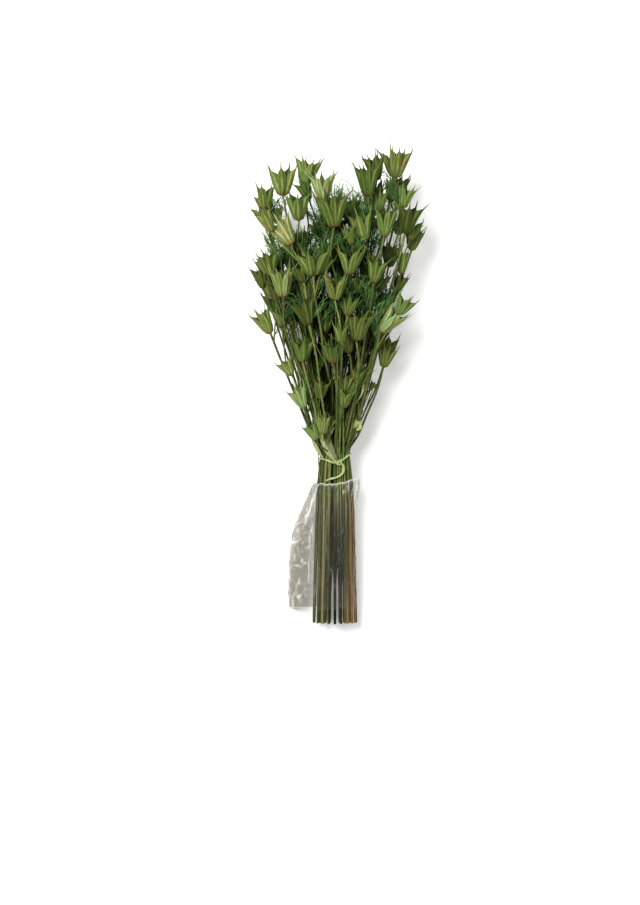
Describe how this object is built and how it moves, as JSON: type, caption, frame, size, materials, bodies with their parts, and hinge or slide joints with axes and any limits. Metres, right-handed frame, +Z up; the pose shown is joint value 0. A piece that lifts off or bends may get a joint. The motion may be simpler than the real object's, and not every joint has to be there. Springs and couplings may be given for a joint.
{
  "type": "tied bunch of dried nigella seed heads",
  "caption": "Bunch of dried ribbed seed heads with thin beaks on long stems, tied with raffia, cut ends in a clear film sleeve.",
  "frame": {"origin": "on the surface that the bunch lies on, under the middle of its bounding box", "axes": "+Y along the bunch from the cut ends to the seed heads, +Z up off the surface, +X to the right seen from above with the heads at the top"},
  "size_m": [0.1878, 0.5022, 0.1599],
  "materials": {
    "seed_stem": "matte",
    "raffia": "satin",
    "film": "gloss"
  },
  "bodies": {
    "root": {"seed_stem_01": "seed_stem", "seed_stem_02": "seed_stem", "seed_stem_03": "seed_stem", "seed_stem_04": "seed_stem", "seed_stem_05": "seed_stem", "seed_stem_06": "seed_stem", "seed_stem_07": "seed_stem", "seed_stem_08": "seed_stem", "seed_stem_09": "seed_stem", "seed_stem_10": "seed_stem", "seed_stem_11": "seed_stem", "seed_stem_12": "seed_stem", "seed_stem_13": "seed_stem", "seed_stem_14": "seed_stem", "seed_stem_15": "seed_stem", "seed_stem_16": "seed_stem", "seed_stem_17": "seed_stem", "seed_stem_18": "seed_stem", "seed_stem_19": "seed_stem", "seed_stem_20": "seed_stem", "seed_stem_21": "seed_stem", "seed_stem_22": "seed_stem", "seed_stem_23": "seed_stem", "seed_stem_24": "seed_stem", "seed_stem_25": "seed_stem", "seed_stem_26": "seed_stem", "seed_stem_27": "seed_stem", "seed_stem_28": "seed_stem", "seed_stem_29": "seed_stem", "seed_stem_30": "seed_stem", "seed_stem_31": "seed_stem", "seed_stem_32": "seed_stem", "seed_stem_33": "seed_stem", "seed_stem_34": "seed_stem", "seed_stem_35": "seed_stem", "seed_stem_36": "seed_stem", "seed_stem_37": "seed_stem", "seed_stem_38": "seed_stem", "seed_stem_39": "seed_stem", "seed_stem_40": "seed_stem", "seed_stem_41": "seed_stem", "seed_stem_42": "seed_stem", "seed_stem_43": "seed_stem", "seed_stem_44": "seed_stem", "seed_stem_45": "seed_stem", "seed_stem_46": "seed_stem", "seed_stem_47": "seed_stem", "seed_stem_48": "seed_stem", "seed_stem_49": "seed_stem", "seed_stem_50": "seed_stem", "seed_stem_51": "seed_stem", "seed_stem_52": "seed_stem", "seed_stem_53": "seed_stem", "seed_stem_54": "seed_stem", "seed_stem_55": "seed_stem", "seed_stem_56": "seed_stem", "seed_stem_57": "seed_stem", "raffia_loop": "raffia", "raffia_tail": "raffia", "film_sleeve": "film"}
  },
  "joints": []
}
